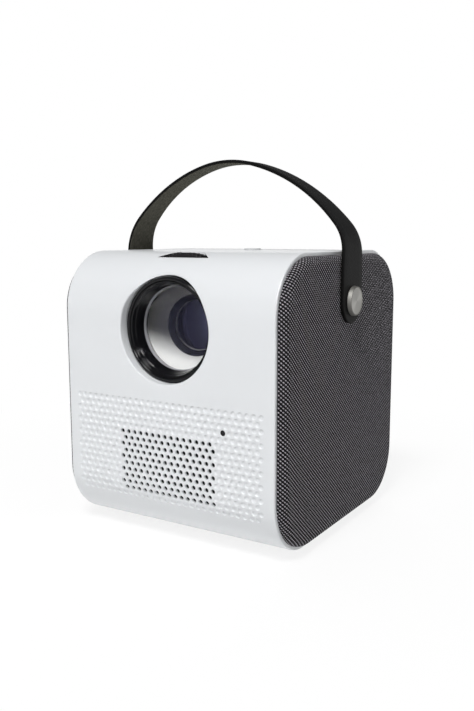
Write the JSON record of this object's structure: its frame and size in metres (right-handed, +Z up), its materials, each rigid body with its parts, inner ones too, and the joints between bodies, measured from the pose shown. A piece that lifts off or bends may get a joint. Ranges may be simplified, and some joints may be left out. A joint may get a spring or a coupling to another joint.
{
  "type": "home projector",
  "caption": "Compact cube home projector with a white rounded shell, dimpled speaker front, recessed lens with focus wheel, fabric sides and a leather carrying strap on metal studs",
  "frame": {"origin": "centre of the overall box at the level of the feet", "axes": "+X across to the fabric side seen on the right from the front, -Y to the front where the lens looks, +Z up"},
  "size_m": [0.15, 0.1456, 0.2046],
  "materials": {
    "white_shell": "satin gloss white moulding",
    "rear_white": "fine textured white moulding",
    "button_grey": "satin light grey",
    "fabric_charcoal": "woven charcoal cover cloth",
    "core_black": "moulded carrier",
    "strap_leather": "near black grained leather",
    "stud_metal": "spun brushed metal with bright rim",
    "screw_steel": "zinc plated",
    "rubber_black": "soft matte",
    "insert_brass": "turned brass",
    "engine_black": "matte black",
    "barrel_black": "gloss black",
    "wheel_black": "satin black with moulded ridges",
    "optical_glass": "coated clear glass",
    "fresnel_clear": "clear acrylic",
    "lcd_dark": "dark display glass",
    "lamp_white": "white lamp board with yellow emitter",
    "heatsink_aluminium": "extruded",
    "baffle_aluminium": "bright satin cone behind the front lens",
    "board_green": "solder masked board",
    "chip_black": "moulded packages",
    "socket_metal": "plated shell",
    "socket_black": "moulded socket",
    "flex_amber": "polyimide ribbon",
    "cloth_black": "acoustic dust cloth",
    "speaker_black": "black pressed frame",
    "cone_paper": "coated paper cone",
    "magnet_grey": "ferrite with plated yoke",
    "ir_tint": "dark infrared filter"
  },
  "bodies": {
    "housing": {"av_jack": "socket_black", "base_screws": "screw_steel", "chassis": "core_black", "condenser_lens": "optical_glass", "dc_jack": "socket_black", "engine_housing": "engine_black", "engine_lid": "engine_black", "engine_screws": "screw_steel", "fan_frame": "engine_black", "fan_screws": "screw_steel", "focus_clip": "screw_steel", "fresnel_front": "fresnel_clear", "fresnel_rear": "fresnel_clear", "grille_cloth": "cloth_black", "hdmi_port": "socket_metal", "heat_glass": "optical_glass", "heatsink": "heatsink_aluminium", "heatsink_screws": "screw_steel", "ir_receiver": "chip_black", "ir_window": "ir_tint", "key_board": "board_green", "key_switch": "chip_black", "lcd_flex": "flex_amber", "lcd_panel": "lcd_dark", "led_module": "lamp_white", "lens_holder": "engine_black", "lens_holder_screws": "screw_steel", "main_shell": "white_shell", "mainboard": "board_green", "mainboard_chips": "chip_black", "mainboard_screws": "screw_steel", "rear_panel": "rear_white", "rear_panel_screws": "screw_steel", "rubber_feet": "rubber_black", "side_core_left": "core_black", "side_core_right": "core_black", "side_fabric_left": "fabric_charcoal", "side_fabric_right": "fabric_charcoal", "speaker_cone": "cone_paper", "speaker_frame": "speaker_black", "speaker_magnet": "magnet_grey", "speaker_screws": "screw_steel", "strap_stud_left": "stud_metal", "strap_stud_right": "stud_metal", "stud_nuts": "screw_steel", "tripod_insert": "insert_brass", "usb_port": "socket_metal"},
    "focus": {"focus_ring": "wheel_black"},
    "lens": {"lens_barrel": "barrel_black", "lens_retainer": "barrel_black", "front_lens": "optical_glass", "lens_baffle": "baffle_aluminium", "middle_lens": "optical_glass", "lens_spacer": "engine_black", "rear_lens": "optical_glass", "rear_lens_retainer": "engine_black", "cam_pins": "screw_steel"},
    "handle": {"handle_strap": "strap_leather"},
    "power_key": {"power_button": "button_grey"},
    "rotor": {"fan_rotor": "engine_black"}
  },
  "joints": [
    {"name": "focus_turn", "type": "hinge", "parent": "housing", "child": "focus", "pos_m": [0, -0.05, 0.1144], "axis": [0, 1, 0], "range_deg": [-45, 45]},
    {"name": "lens_slide", "type": "slide", "parent": "housing", "child": "lens", "axis": [0, -1, 0], "range_m": [-0.003, 0.003]},
    {"name": "strap_swing", "type": "hinge", "parent": "housing", "child": "handle", "pos_m": [0, 0, 0.1276], "axis": [1, 0, 0], "range_deg": [-15, 15]},
    {"name": "power_press", "type": "slide", "parent": "housing", "child": "power_key", "axis": [0, 0, -1], "range_m": [0, 0.0006], "stiffness_N_per_m": 300, "springref_m": -0.002},
    {"name": "fan_spin", "type": "hinge", "parent": "housing", "child": "rotor", "pos_m": [0, 0.063, 0.095], "axis": [0, 1, 0], "continuous": true}
  ],
  "couplings": [
    {"joint": "lens_slide", "follows": "focus_turn", "m_per_rad": 0.0038197}
  ]
}
